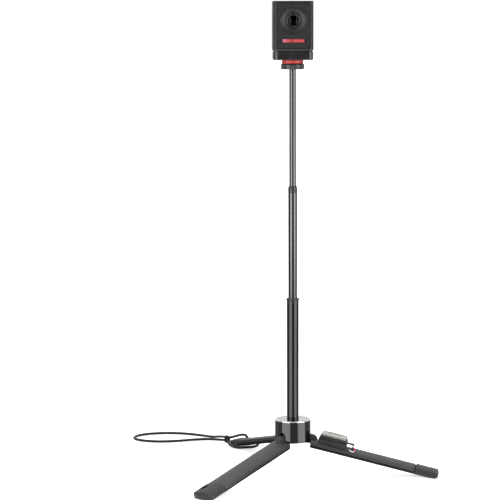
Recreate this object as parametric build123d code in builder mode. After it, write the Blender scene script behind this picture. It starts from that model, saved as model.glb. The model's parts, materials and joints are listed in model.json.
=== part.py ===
"""Webcam on a telescopic tripod: a small box camera on a three-section pole with folding legs.

Millimetres, +Z up, floor at z = 0. The camera looks along -Y. The origin is the centre of the
box round the three feet, on the floor, so the pole stands a little off the origin.
"""

from build123d import *
import math
import os

os.makedirs("parts", exist_ok=True)

# --- stance: where the legs point, seen from above, and how steeply they fall ---
LEG_ANGLES = {"right": -9.3, "front": -129.3, "back": 110.7}
LEG_SLOPE = 13.0
PIVOT_RADIUS = 16.0
PIVOT_HEIGHT = 46.1

# --- leg section, in the leg's own frame: x to its left, y up from the pivot ---
CROWN_RADIUS = 40.0
CREST = 1.0
LEG_HALF = 13.65
LEG_WALL = 1.8
SHELL_LOW = -5.0
LINER_LOW = -8.7
FOOT_RISE = 0.7
FOOT_LOW = -9.2
LEG_START = 8.6
LEG_END = 143.6
FOOT_START = 145.1
FOOT_END = 175.0
SEAM_DEPTH = 0.9
EYELET_SIDE = {"right": 1, "front": -1, "back": -1}
EYELET_ALONG = 157.5
EYELET_HALF = 9.5
MARK_ALONG = 22.0
MARK_SIDE = 10.2

# --- hinge ---
LUG_WIDTH = 7.5
LUG_RADIUS = 6.2
PIN_RADIUS = 1.5
RUNNING = 0.06

# --- hub ---
HUB_RADIUS = 22.75
HUB_BOTTOM = 42.1
HUB_TOP = 70.1
HUB_WALL = 1.6
SLOT_HALF = 4.3
SLOT_INNER = 9.1
SLOT_SPRING_LINE = 50.9
HUB_SCREW_CIRCLE = 15.0

# --- pole: three tubes, each sliding into the one below ---
BOTTOM_TUBE_RADIUS = 7.53
BOTTOM_TUBE_BORE = 6.6
MID_TUBE_RADIUS = 5.53
MID_TUBE_BORE = 4.75
TOP_TUBE_RADIUS = 4.18
TOP_TUBE_BORE = 3.4
BOTTOM_SEAM = 217.7
BOTTOM_CAP_TOP = 225.1
MID_SEAM = 358.5
MID_CAP_TOP = 367.3
OVERLAP = 22.0
BUSH_LENGTH = 12.0

# --- camera mount ---
WHEEL_BOTTOM = 513.5
WHEEL_TOP = 520.5
WHEEL_RADIUS = 14.6
WHEEL_FLUTES = 20
COLLAR_BOTTOM = 520.6
COLLAR_RADIUS = 13.4
STUD_RADIUS = 3.175
STUD_TOP = 532.0

# --- camera ---
CASE_WIDTH = 50.0
CASE_DEPTH = 46.0
CASE_CORNER = 4.5
BASE_BOTTOM = 525.2
BASE_TOP = 535.9
CASE_BOTTOM = 537.0
CASE_TOP = 598.0
CASE_WALL = 2.0
PLATE_WIDTH = 41.0
PLATE_MARGIN = 2.6
PLATE_THICK = 2.4
LENS_HEIGHT = 573.8
LENS_RING_RADIUS = 16.7
LENS_DISH_RADIUS = 15.5
BARREL_RADIUS = 9.65
GLASS_RADIUS = 6.3
BAR_HEIGHT = 548.9
BAR_WIDTH = 27.4
BAR_TALL = 4.3
BAR_SLOT = 30.0
COVER_SCREW_INSET = 8.0
PORT_HEIGHT = CASE_BOTTOM + 11.0

# --- remote control, in the right leg's own frame ---
REMOTE_START = 17.5
REMOTE_LENGTH = 36.2
REMOTE_HALF = 10.6
REMOTE_LOW = 6.8
REMOTE_HIGH = 10.4
CLIP_TOP = REMOTE_LOW - 0.3
COVER_HIGH = 12.9

# --- key ring on the remote, leaning on the leg's near side ---
RING_RADIUS = 3.6
RING_ALONG = 62.0
RING_LEAN = 30.0
RING_STAND = 20.2

# --- wrist strap: its route is measured from the pole's foot ---
STRAP_DIAMETER = 3.6
STRAP_GAP = 4.6
STRAP_JOIN = (-81.2, 172.4, 7.6)
STRAP_HEADING = (-0.52, 0.854)
STRAP_ROUTE = [
    (-53.3, 165.3, 6.5), (-54, 166, 13.5), (-60, 166.8, 15.4), (-68.5, 163.8, 14.2),
    (-79, 168.8, 9.9), (-84.8, 178.4, 9.9), (-92, 194, 7), (-102, 211, 3),
    (-120, 230, 2), (-143, 242, 2), (-168, 245, 2), (-192, 240, 2),
    (-208, 226, 2), (-210, 208, 2), (-197, 194, 2), (-175, 187, 2),
    (-150, 190, 2), (-127, 199, 2), (-107, 201, 2.2), (-93, 189.5, 3.6),
    (-84.5, 177.9, 5.3), (-79, 168.8, 5.3), (-79.5, 160.5, 4), (-75.2, 149.9, 2.6),
    (-67.2, 141.8, 2.2), (-57, 139.3, 3.4), (-46.5, 142.6, 3), (-39.8, 150.6, 3.6),
    (-39.6, 159.6, 5.6), (-45.2, 161.4, 5.8),
]


def footprint_centre():
    """The centre of the box round the three feet, measured from the pole."""
    reach = PIVOT_RADIUS + FOOT_END * math.cos(math.radians(LEG_SLOPE))
    xs, ys = [], []
    for angle in LEG_ANGLES.values():
        a = math.radians(angle)
        for side in (-LEG_HALF, LEG_HALF):
            xs.append(reach * math.cos(a) - side * math.sin(a))
            ys.append(reach * math.sin(a) + side * math.cos(a))
    return (max(xs) + min(xs)) / 2, (max(ys) + min(ys)) / 2


FEET_X, FEET_Y = footprint_centre()
POLE_X, POLE_Y = -FEET_X, -FEET_Y
FRONT_Y = POLE_Y - CASE_DEPTH / 2
BACK_Y = POLE_Y + CASE_DEPTH / 2


# ----------------------------------------------------------------- planes and outlines


def level(height):
    """The horizontal plane at a height, centred on the pole."""
    return Plane((POLE_X, POLE_Y, height), x_dir=(1, 0, 0), z_dir=(0, 0, 1))


def facing(y):
    """An upright plane across the camera, seen from the front: x right, y up, at height 0."""
    return Plane((POLE_X, y, 0), x_dir=(1, 0, 0), z_dir=(0, -1, 0))


def upright(angle):
    """An upright plane through the pole at an angle, for outlines that are turned round it."""
    a = math.radians(angle)
    return Plane((POLE_X, POLE_Y, 0), x_dir=(math.cos(a), math.sin(a), 0),
                 z_dir=(math.sin(a), -math.cos(a), 0))


def leg_axes(name):
    """A leg's pivot point, and its directions out, left and up."""
    a, s = math.radians(LEG_ANGLES[name]), math.radians(LEG_SLOPE)
    out = Vector(math.cos(a) * math.cos(s), math.sin(a) * math.cos(s), -math.sin(s))
    left = Vector(-math.sin(a), math.cos(a), 0)
    pivot = Vector(POLE_X + PIVOT_RADIUS * math.cos(a), POLE_Y + PIVOT_RADIUS * math.sin(a),
                   PIVOT_HEIGHT)
    return pivot, out, left, out.cross(left)


def across(name, along):
    """The plane across a leg at a distance from its pivot: x left, y up, z out."""
    pivot, out, left, up = leg_axes(name)
    return Plane(pivot + out * along, x_dir=left, z_dir=out)


def beside(name):
    """The upright plane along a leg through its pivot: x out, y up."""
    pivot, out, left, up = leg_axes(name)
    return Plane(pivot, x_dir=out, z_dir=left * -1)


def above(name, rise=0.0):
    """The plane along a leg's top, seen from above: x out, y left."""
    pivot, out, left, up = leg_axes(name)
    return Plane(pivot + up * rise, x_dir=out, z_dir=up)


def slot_plane(name):
    """The upright plane at the pole that faces a leg: x sideways, y up, z outwards."""
    a = math.radians(LEG_ANGLES[name])
    return Plane((POLE_X, POLE_Y, 0), x_dir=(-math.sin(a), math.cos(a), 0),
                 z_dir=(math.cos(a), math.sin(a), 0))


def crown(half, crest):
    """The height of a gently crowned top at its sides, given its half width and its crest."""
    return crest - CROWN_RADIUS + math.sqrt(CROWN_RADIUS**2 - half**2)


def arch(half, crest, low):
    """A face under a gently crowned top, with straight sides and a flat foot."""
    shoulder = crown(half, crest)
    with BuildSketch() as face:
        with BuildLine():
            ThreePointArc((-half, shoulder), (0, crest), (half, shoulder))
            Polyline((half, shoulder), (half, low), (-half, low), (-half, shoulder))
        make_face()
    return face.sketch


def tube(outer, inner, low, high):
    """A tube round the pole's line, or a disc where its bore is 0, added to the part."""
    with BuildSketch(level(low)) as section:
        Circle(outer)
        if inner > 0:
            Circle(inner, mode=Mode.SUBTRACT)
    extrude(section.sketch, amount=high - low)


def turned(points):
    """A ring turned round the pole's line from an outline of (radius, height) points."""
    with BuildSketch(upright(0)) as outline:
        with BuildLine():
            Polyline(*points, close=True)
        make_face()
    revolve(outline.sketch, axis=Axis((POLE_X, POLE_Y, 0), (0, 0, 1)), revolution_arc=360)


def save(piece, name):
    """Labels a finished piece and writes it as one STEP file."""
    piece.part.label = name
    export_step(piece.part, f"parts/{name}.step")


# ----------------------------------------------------------------- legs


def build_leg(name):
    """One leg: its outer shell with the hinge lug, the liner below and the rubber foot."""
    with BuildPart() as shell:
        with BuildSketch(across(name, LEG_START)):
            add(arch(LEG_HALF, CREST, SHELL_LOW))
        extrude(amount=LEG_END - LEG_START)
        with BuildSketch(across(name, LEG_START + 2 * LEG_WALL)):
            add(arch(LEG_HALF - LEG_WALL, CREST - LEG_WALL, SHELL_LOW))
        extrude(amount=LEG_END - LEG_START, mode=Mode.SUBTRACT)
        with BuildSketch(beside(name)):
            add(hinge_lug())
        extrude(amount=LUG_WIDTH / 2, both=True)
        with BuildSketch(beside(name)):
            Circle(PIN_RADIUS + RUNNING)
        extrude(amount=LUG_WIDTH, both=True, mode=Mode.SUBTRACT)
        with BuildSketch(above(name, CREST + 1)):
            with Locations((MARK_ALONG, MARK_SIDE * EYELET_SIDE[name])):
                Circle(1.0)
        extrude(amount=-4.0, mode=Mode.SUBTRACT)
    save(shell, f"leg_{name}_shell")

    with BuildPart() as liner:
        with BuildSketch(across(name, LEG_START + 0.4)):
            with Locations((0, (LINER_LOW + SHELL_LOW - 0.1) / 2)):
                Rectangle(2 * LEG_HALF - 0.4, SHELL_LOW - 0.1 - LINER_LOW)
        extrude(amount=LEG_END - LEG_START - 0.4)
        with BuildSketch(across(name, 36.0)):
            with Locations((-6, -3.65), (6, -3.65)):
                Rectangle(2.0, 3.0)
        extrude(amount=88.0)
        sole = liner.faces().sort_by(SortBy.AREA)[-1]
        chamfer(sole.edges().sort_by(SortBy.LENGTH)[-2:], 1.4)
    save(liner, f"leg_{name}_liner")

    with BuildPart() as foot:
        with BuildSketch(across(name, FOOT_START)):
            add(arch(LEG_HALF, CREST + FOOT_RISE, FOOT_LOW))
            under = foot_chamfer_corners()
            Polygon(*under, align=None, mode=Mode.SUBTRACT)
            Polygon(*[(-x, y) for x, y in under], align=None, mode=Mode.SUBTRACT)
        extrude(amount=FOOT_END - FOOT_START)
        with BuildSketch(above(name)):
            add(foot_plan())
        extrude(amount=LEG_HALF, both=True, mode=Mode.INTERSECT)
        with BuildSketch(beside(name)):
            Polygon((FOOT_END - 4.4, CREST + 1.5), (FOOT_END + 1, CREST + 1.5),
                    (FOOT_END + 1, CREST - 5.0), align=None)
        extrude(amount=LEG_HALF + 1, both=True, mode=Mode.SUBTRACT)
        with BuildSketch(above(name)):
            add(eyelet(EYELET_SIDE[name]))
        extrude(amount=LEG_HALF, both=True, mode=Mode.SUBTRACT)
        with BuildSketch(across(name, LEG_END + 0.05)):
            add(arch(LEG_HALF - SEAM_DEPTH, CREST - SEAM_DEPTH, LINER_LOW + 0.4))
        extrude(amount=FOOT_START + 0.5 - LEG_END)
        with BuildSketch(across(name, FOOT_START - 14.0)):
            with Locations((0, -3.0)):
                RectangleRounded(12.0, 2.8, 0.8)
        extrude(amount=15.0)
        split(bisect_by=Plane.XY, keep=Keep.TOP)
    save(foot, f"foot_{name}")

    pivot, out, left, up = leg_axes(name)
    with BuildPart() as pin:
        with BuildSketch(Plane(pivot - left * 9.5, x_dir=out, z_dir=left)):
            Circle(PIN_RADIUS)
        extrude(amount=19.0)
        chamfer(pin.edges().filter_by(GeomType.CIRCLE), 0.3)
    save(pin, f"hinge_pin_{name}")


def hinge_lug():
    """Side view of the lug: round about the pin, a hump on top, and a root inside the shell."""
    with BuildSketch() as face:
        Circle(LUG_RADIUS)
        with BuildLine():
            Polyline((9.2, LUG_RADIUS), (0, LUG_RADIUS), (0, -LUG_RADIUS),
                     (8.3, SHELL_LOW + 0.1), (30, SHELL_LOW + 0.1), (30, CREST - 1.3),
                     (15.4, CREST - 1.3))
            ThreePointArc((15.4, CREST - 1.3), (13.4, 4.4), (9.2, LUG_RADIUS))
        make_face()
    return face.sketch


def foot_chamfer_corners():
    """The corner cut off the foot's lower edge, so that the three feet clear when folded."""
    return [(LEG_HALF + 1, -7.4 + 0.6), (LEG_HALF + 1, FOOT_LOW - 1),
            (LEG_HALF - 4.3, FOOT_LOW - 1)]


def foot_plan():
    """The foot from above: straight sides, rounded corners and a gently bowed end."""
    back, turn, bow = FOOT_START - 1, FOOT_END - 4.4, FOOT_END - 1.8
    near = LEG_HALF - 2.2
    with BuildSketch() as face:
        with BuildLine():
            Polyline((turn, LEG_HALF), (back, LEG_HALF), (back, -LEG_HALF), (turn, -LEG_HALF))
            ThreePointArc((turn, -LEG_HALF), (bow - 0.7, 0.6 - LEG_HALF), (bow, -near))
            ThreePointArc((bow, -near), (FOOT_END, 0), (bow, near))
            ThreePointArc((bow, near), (bow - 0.7, LEG_HALF - 0.6), (turn, LEG_HALF))
        make_face()
    return face.sketch


def eyelet(side):
    """A D-shaped strap slot close to one side of the foot."""
    straight, deep = side * (LEG_HALF - 1.4), side * (LEG_HALF - 9.0)
    near, far = EYELET_ALONG - EYELET_HALF, EYELET_ALONG + EYELET_HALF
    with BuildSketch() as face:
        with BuildLine():
            ThreePointArc((near, straight), (EYELET_ALONG, deep), (far, straight))
            Line((far, straight), (near, straight))
        make_face()
    return face.sketch


# ----------------------------------------------------------------- hub


def cut_leg_slots(low, high):
    """Cuts the three round-topped slots that the legs' lugs turn in."""
    for name in LEG_ANGLES:
        with BuildSketch(slot_plane(name).offset(SLOT_INNER)) as slot:
            with Locations((0, (low + SLOT_SPRING_LINE) / 2)):
                Rectangle(2 * SLOT_HALF, SLOT_SPRING_LINE - low)
            if high > SLOT_SPRING_LINE:
                with Locations((0, SLOT_SPRING_LINE)):
                    Circle(SLOT_HALF)
        extrude(slot.sketch, amount=HUB_RADIUS, mode=Mode.SUBTRACT)


def build_hub():
    """The hub: a glossy cup, the core that holds the pins, and a cover below with its screws."""
    with BuildPart() as shell:
        tube(HUB_RADIUS, 0, HUB_BOTTOM, HUB_TOP)
        fillet(shell.edges().filter_by(GeomType.CIRCLE).group_by(Axis.Z)[-1].sort_by(
            SortBy.LENGTH)[-1], 1.3)
        with BuildSketch(level(HUB_BOTTOM - 1)):
            Circle(HUB_RADIUS - HUB_WALL)
        extrude(amount=HUB_TOP - HUB_WALL - HUB_BOTTOM + 1, mode=Mode.SUBTRACT)
        with BuildSketch(level(HUB_BOTTOM)):
            Circle(BOTTOM_TUBE_RADIUS + 0.12)
        extrude(amount=40, mode=Mode.SUBTRACT)
        cut_leg_slots(HUB_BOTTOM - 1, HUB_TOP)
    save(shell, "hub_shell")

    core_low, core_high = HUB_BOTTOM + 2.2, HUB_TOP - HUB_WALL - 0.1
    with BuildPart() as core:
        tube(HUB_RADIUS - HUB_WALL - 0.1, BOTTOM_TUBE_RADIUS + 0.04, core_low, core_high)
        cut_leg_slots(HUB_BOTTOM - 1, HUB_TOP)
        for name in LEG_ANGLES:
            with BuildSketch(beside(name)):
                Circle(PIN_RADIUS + 0.03)
            extrude(amount=9.7, both=True, mode=Mode.SUBTRACT)
            a = LEG_ANGLES[name] + 60
            with BuildSketch(level(core_low)):
                with PolarLocations(HUB_SCREW_CIRCLE, 1, start_angle=a):
                    Circle(1.1)
            extrude(amount=7.0, mode=Mode.SUBTRACT)
    save(core, "hub_core")

    with BuildPart() as cover:
        tube(HUB_RADIUS - HUB_WALL - 0.1, 3.0, HUB_BOTTOM, core_low - 0.05)
        cut_leg_slots(HUB_BOTTOM - 1, SLOT_SPRING_LINE)
        for angle in LEG_ANGLES.values():
            with BuildSketch(level(HUB_BOTTOM - 1)):
                with PolarLocations(HUB_SCREW_CIRCLE, 1, start_angle=angle + 60):
                    Circle(1.2)
            extrude(amount=9, mode=Mode.SUBTRACT)
            with BuildSketch(level(HUB_BOTTOM - 1)):
                with PolarLocations(HUB_SCREW_CIRCLE, 1, start_angle=angle + 60):
                    Circle(2.2)
            extrude(amount=2.2, mode=Mode.SUBTRACT)
    save(cover, "hub_bottom_cover")

    with BuildPart() as screws:
        for angle in LEG_ANGLES.values():
            screw(level(HUB_BOTTOM + 1.15), HUB_SCREW_CIRCLE, angle + 60)
    save(screws, "hub_screws")


def screw(head_plane, radius, angle):
    """A small cross-head screw pointing up from its head's seat, added to the part."""
    with BuildSketch(head_plane.offset(-1.0)) as head:
        with PolarLocations(radius, 1, start_angle=angle):
            Circle(2.0)
    extrude(head.sketch, amount=1.0)
    with BuildSketch(head_plane) as shank:
        with PolarLocations(radius, 1, start_angle=angle):
            Circle(1.0)
    extrude(shank.sketch, amount=6.0)
    with BuildSketch(head_plane.offset(-1.05)) as cross:
        with PolarLocations(radius, 1, start_angle=angle):
            Rectangle(2.2, 0.5)
            Rectangle(0.5, 2.2)
    extrude(cross.sketch, amount=0.6, mode=Mode.SUBTRACT)


# ----------------------------------------------------------------- pole


def build_pole():
    """The three tubes with their caps and guide bushes, and the stud on top."""
    with BuildPart() as bottom:
        tube(BOTTOM_TUBE_RADIUS, BOTTOM_TUBE_BORE, HUB_BOTTOM + 3.0, BOTTOM_SEAM)
    save(bottom, "bottom_tube")

    rim = BOTTOM_TUBE_RADIUS + 0.65
    throat = MID_TUBE_RADIUS + 0.08
    with BuildPart() as bottom_cap:
        turned([(throat, BOTTOM_SEAM - 14), (BOTTOM_TUBE_BORE - 0.03, BOTTOM_SEAM - 14),
                (BOTTOM_TUBE_BORE - 0.03, BOTTOM_SEAM + 0.05),
                (BOTTOM_TUBE_RADIUS, BOTTOM_SEAM + 0.05),
                (BOTTOM_TUBE_RADIUS, BOTTOM_CAP_TOP - 3.2), (rim, BOTTOM_CAP_TOP - 1.8),
                (rim, BOTTOM_CAP_TOP - 0.5), (rim - 0.5, BOTTOM_CAP_TOP),
                (throat + 0.4, BOTTOM_CAP_TOP), (throat, BOTTOM_CAP_TOP - 0.5)])
        with BuildSketch(facing(POLE_Y - BOTTOM_TUBE_RADIUS - 1)):
            with Locations((0, BOTTOM_SEAM + 2.6)):
                Circle(1.0)
        extrude(amount=-1.6, mode=Mode.SUBTRACT)
    save(bottom_cap, "bottom_cap")

    with BuildPart() as middle:
        tube(MID_TUBE_RADIUS, MID_TUBE_BORE, BOTTOM_CAP_TOP - OVERLAP - BUSH_LENGTH, MID_SEAM)
    save(middle, "mid_tube")

    rim = MID_TUBE_RADIUS + 0.15
    throat = TOP_TUBE_RADIUS + 0.08
    with BuildPart() as mid_cap:
        turned([(throat, MID_SEAM - 12), (MID_TUBE_BORE - 0.03, MID_SEAM - 12),
                (MID_TUBE_BORE - 0.03, MID_SEAM + 0.05), (rim, MID_SEAM + 0.05),
                (rim, MID_CAP_TOP - 2.6), (rim - 0.3, MID_CAP_TOP - 1.6),
                (throat + 0.55, MID_CAP_TOP), (throat + 0.3, MID_CAP_TOP),
                (throat, MID_CAP_TOP - 0.4)])
    save(mid_cap, "mid_cap")

    mid_low = BOTTOM_CAP_TOP - OVERLAP - BUSH_LENGTH
    with BuildPart() as mid_bush:
        turned([(MID_TUBE_RADIUS + 0.03, mid_low), (BOTTOM_TUBE_BORE - 0.09, mid_low),
                (BOTTOM_TUBE_BORE - 0.09, mid_low + BUSH_LENGTH - 1),
                (BOTTOM_TUBE_BORE - 0.5, mid_low + BUSH_LENGTH),
                (MID_TUBE_RADIUS + 0.03, mid_low + BUSH_LENGTH)])
    save(mid_bush, "mid_bush")

    top_low = MID_CAP_TOP - OVERLAP - BUSH_LENGTH
    with BuildPart() as top:
        tube(TOP_TUBE_RADIUS, TOP_TUBE_BORE, top_low, WHEEL_BOTTOM - 0.2)
    save(top, "top_tube")

    with BuildPart() as top_bush:
        turned([(TOP_TUBE_RADIUS + 0.03, top_low), (MID_TUBE_BORE - 0.09, top_low),
                (MID_TUBE_BORE - 0.09, top_low + BUSH_LENGTH),
                (TOP_TUBE_RADIUS + 0.03, top_low + BUSH_LENGTH)])
    save(top_bush, "top_bush")

    with BuildPart() as stud:
        turned([(0, WHEEL_BOTTOM - 18), (TOP_TUBE_BORE - 0.03, WHEEL_BOTTOM - 18),
                (TOP_TUBE_BORE - 0.03, WHEEL_BOTTOM - 0.4), (STUD_RADIUS, WHEEL_BOTTOM - 0.2),
                (STUD_RADIUS, STUD_TOP - 0.6), (STUD_RADIUS - 0.6, STUD_TOP), (0, STUD_TOP)])
    save(stud, "camera_stud")


def build_mount():
    """The black lock wheel with its fluted rim, and the red collar over it."""
    with BuildPart() as wheel:
        turned([(STUD_RADIUS + RUNNING, WHEEL_BOTTOM), (WHEEL_RADIUS - 0.8, WHEEL_BOTTOM),
                (WHEEL_RADIUS, WHEEL_BOTTOM + 0.8), (WHEEL_RADIUS, WHEEL_TOP - 1.2),
                (WHEEL_RADIUS - 1.2, WHEEL_TOP), (STUD_RADIUS + RUNNING, WHEEL_TOP)])
        with BuildSketch(level(WHEEL_BOTTOM - 1)):
            with PolarLocations(WHEEL_RADIUS + 0.75, WHEEL_FLUTES):
                Circle(1.35)
        extrude(amount=WHEEL_TOP - WHEEL_BOTTOM - 0.2, mode=Mode.SUBTRACT)
    save(wheel, "lock_wheel")

    low, high = COLLAR_BOTTOM, BASE_BOTTOM - 0.05
    with BuildPart() as collar:
        turned([(STUD_RADIUS + 0.3, low), (COLLAR_RADIUS - 0.5, low), (COLLAR_RADIUS, low + 0.5),
                (COLLAR_RADIUS, high - 0.4), (COLLAR_RADIUS - 0.4, high),
                (STUD_RADIUS + 0.3, high)])
    save(collar, "red_collar")


# ----------------------------------------------------------------- camera


def build_camera_base():
    """The camera's base: a rounded block with a lit upper edge, and the threaded insert."""
    with BuildPart() as base:
        with BuildSketch(level(BASE_BOTTOM)):
            RectangleRounded(CASE_WIDTH - 0.5, CASE_DEPTH - 0.5, 6.0)
        extrude(amount=BASE_TOP - BASE_BOTTOM)
        fillet(base.edges().group_by(Axis.Z)[0], 1.4)
        chamfer(base.edges().group_by(Axis.Z)[-1], 0.6)
        with BuildSketch(level(BASE_TOP)):
            RectangleRounded(CASE_WIDTH - 1.8, CASE_DEPTH - 1.8, 5.4)
        extrude(amount=CASE_BOTTOM - BASE_TOP - 0.05)
        with BuildSketch(level(BASE_BOTTOM + 9.0)):
            RectangleRounded(CASE_WIDTH - 9.0, CASE_DEPTH - 9.0, 3.0)
        extrude(amount=10, mode=Mode.SUBTRACT)
        with BuildSketch(level(BASE_BOTTOM - 1)):
            Circle(6.05)
        extrude(amount=30, mode=Mode.SUBTRACT)
    save(base, "camera_base")

    with BuildPart() as insert:
        tube(6.0, STUD_RADIUS + RUNNING, BASE_BOTTOM, BASE_BOTTOM + 8.0)
        tube(6.0, 0, BASE_BOTTOM + 8.0, BASE_BOTTOM + 9.1)
        tube(9.0, 0, BASE_BOTTOM + 9.1, BASE_BOTTOM + 10.3)
    save(insert, "tripod_insert")


def build_camera_case():
    """The camera's sleeve, front plate and rear cover, with the cover's screws."""
    middle = (CASE_BOTTOM + CASE_TOP) / 2
    tall = CASE_TOP - CASE_BOTTOM
    plate_tall = tall - 2 * PLATE_MARGIN
    with BuildPart() as case:
        with BuildSketch(level(CASE_BOTTOM)):
            RectangleRounded(CASE_WIDTH, CASE_DEPTH, CASE_CORNER)
        extrude(amount=tall)
        fillet(case.edges().group_by(Axis.Z)[-1], 1.3)
        with BuildSketch(level(CASE_BOTTOM + CASE_WALL)):
            RectangleRounded(CASE_WIDTH - 2 * CASE_WALL, CASE_DEPTH - 2 * CASE_WALL,
                             CASE_CORNER - CASE_WALL)
        extrude(amount=tall - 2 * CASE_WALL, mode=Mode.SUBTRACT)
        for face, corner in ((FRONT_Y, 2.2), (BACK_Y + 0.01, 2.2)):
            with BuildSketch(facing(face)):
                with Locations((0, middle)):
                    RectangleRounded(PLATE_WIDTH + 0.3, plate_tall + 0.3, corner)
            extrude(amount=4.5, both=True, mode=Mode.SUBTRACT)
        with BuildSketch(level(CASE_TOP)):
            Circle(6.2)
        extrude(amount=-6, mode=Mode.SUBTRACT)
        with BuildSketch(level(CASE_BOTTOM - 1)):
            Circle(9.3)
        extrude(amount=5, mode=Mode.SUBTRACT)
    save(case, "camera_case")

    with BuildPart() as plate:
        with BuildSketch(facing(FRONT_Y)):
            with Locations((0, middle)):
                RectangleRounded(PLATE_WIDTH, plate_tall, 2.0)
        extrude(amount=-PLATE_THICK)
        chamfer(plate.faces().sort_by(Axis.Y)[0].edges(), 0.7)
        with BuildSketch(facing(FRONT_Y - 1)):
            with Locations((0, LENS_HEIGHT)):
                Circle(LENS_RING_RADIUS + 0.1)
            with Locations((0, BAR_HEIGHT)):
                RectangleRounded(BAR_SLOT, BAR_TALL + 0.2, 1.6)
        extrude(amount=-10, mode=Mode.SUBTRACT)
    save(plate, "front_plate")

    with BuildPart() as cover:
        with BuildSketch(facing(BACK_Y - PLATE_THICK)):
            with Locations((0, middle)):
                RectangleRounded(PLATE_WIDTH, plate_tall, 2.0)
        extrude(amount=-PLATE_THICK)
        chamfer(cover.faces().sort_by(Axis.Y)[-1].edges(), 0.7)
        with BuildSketch(facing(BACK_Y - 10)):
            with Locations((0, PORT_HEIGHT)):
                RectangleRounded(9.4, 3.6, 1.7)
            with Locations((0, middle)):
                with GridLocations(PLATE_WIDTH - COVER_SCREW_INSET, plate_tall - COVER_SCREW_INSET, 2, 2):
                    Circle(1.1)
        extrude(amount=-20, mode=Mode.SUBTRACT)
        with BuildSketch(facing(BACK_Y - 1.2)):
            with Locations((0, middle)):
                with GridLocations(PLATE_WIDTH - COVER_SCREW_INSET, plate_tall - COVER_SCREW_INSET, 2, 2):
                    Circle(2.0)
        extrude(amount=-5, mode=Mode.SUBTRACT)
    save(cover, "rear_cover")

    with BuildPart() as screws:
        with BuildSketch(facing(BACK_Y - 1.15)):
            with Locations((0, middle)):
                with GridLocations(PLATE_WIDTH - COVER_SCREW_INSET, plate_tall - COVER_SCREW_INSET, 2, 2):
                    Circle(1.8)
        extrude(amount=-1.0)
        with BuildSketch(facing(BACK_Y - 6.0)):
            with Locations((0, middle)):
                with GridLocations(PLATE_WIDTH - COVER_SCREW_INSET, plate_tall - COVER_SCREW_INSET, 2, 2):
                    Circle(1.0)
        extrude(amount=-5.0)
        with BuildSketch(facing(BACK_Y)):
            with Locations((0, middle)):
                with GridLocations(PLATE_WIDTH - COVER_SCREW_INSET, plate_tall - COVER_SCREW_INSET, 2, 2):
                    Rectangle(2.2, 0.5)
                    Rectangle(0.5, 2.2)
        extrude(amount=0.75, mode=Mode.SUBTRACT)
    save(screws, "cover_screws")


def lens_plane():
    """The plane through the lens's line: x out from the line, y back from the front face."""
    return Plane((POLE_X, FRONT_Y, LENS_HEIGHT), x_dir=(1, 0, 0), z_dir=(0, 0, 1))


def lens_turned(points):
    """A ring turned round the lens's line from (radius, depth behind the front face) points."""
    with BuildSketch(lens_plane()) as outline:
        with BuildLine():
            Polyline(*points, close=True)
        make_face()
    line = Axis((POLE_X, FRONT_Y, LENS_HEIGHT), (0, 1, 0))
    revolve(outline.sketch, axis=line, revolution_arc=360)


def lens_element(radius, rise, thick, front):
    """A lens element turned round the lens's line, domed to the front."""
    sphere = (radius**2 + rise**2) / (2 * rise)
    half_way = front + sphere - math.sqrt(sphere**2 - radius**2 / 4)
    back = front + rise + thick
    with BuildSketch(lens_plane()) as outline:
        with BuildLine():
            ThreePointArc((0, front), (radius / 2, half_way), (radius, front + rise))
            Polyline((radius, front + rise), (radius, back), (0, back), (0, front))
        make_face()
    line = Axis((POLE_X, FRONT_Y, LENS_HEIGHT), (0, 1, 0))
    revolve(outline.sketch, axis=line, revolution_arc=360)


def build_lens():
    """The lens: an outer ring, the dish that leads into it, the barrel and two elements."""
    outer, dish = LENS_RING_RADIUS, LENS_DISH_RADIUS
    with BuildPart() as ring:
        lens_turned([(dish + 0.05, 0.5), (dish + 0.4, -0.5), (outer - 0.4, -0.5), (outer, -0.1),
                     (outer, PLATE_THICK), (dish + 0.05, PLATE_THICK)])
    save(ring, "lens_ring")
    with BuildPart() as cone:
        lens_turned([(BARREL_RADIUS + 0.05, 1.9), (dish - 0.4, 0.1), (dish, 0.1),
                     (dish, PLATE_THICK + 0.9), (BARREL_RADIUS + 0.05, PLATE_THICK + 0.9)])
    save(cone, "lens_dish")
    with BuildPart() as barrel:
        lens_turned([(GLASS_RADIUS, 2.6), (GLASS_RADIUS + 1.4, 1.5), (BARREL_RADIUS - 0.7, 0.7),
                     (BARREL_RADIUS, 1.1), (BARREL_RADIUS, 16.0), (GLASS_RADIUS - 2.0, 16.0),
                     (GLASS_RADIUS - 2.0, 7.0), (GLASS_RADIUS, 7.0)])
    save(barrel, "lens_barrel")
    with BuildPart() as front:
        lens_element(GLASS_RADIUS - 0.05, 1.4, 1.6, 2.4)
    save(front, "lens_front_glass")
    with BuildPart() as rear:
        lens_element(GLASS_RADIUS - 2.1, 0.6, 1.6, 8.5)
    save(rear, "lens_rear_glass")


def slab(low_y, high_y, width, tall, height, corner=1.0):
    """An upright block inside the camera, given by its depths, size and middle height."""
    with BuildSketch(facing(low_y)) as outline:
        with Locations((0, height)):
            RectangleRounded(width, tall, corner)
    extrude(outline.sketch, amount=low_y - high_y)


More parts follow.
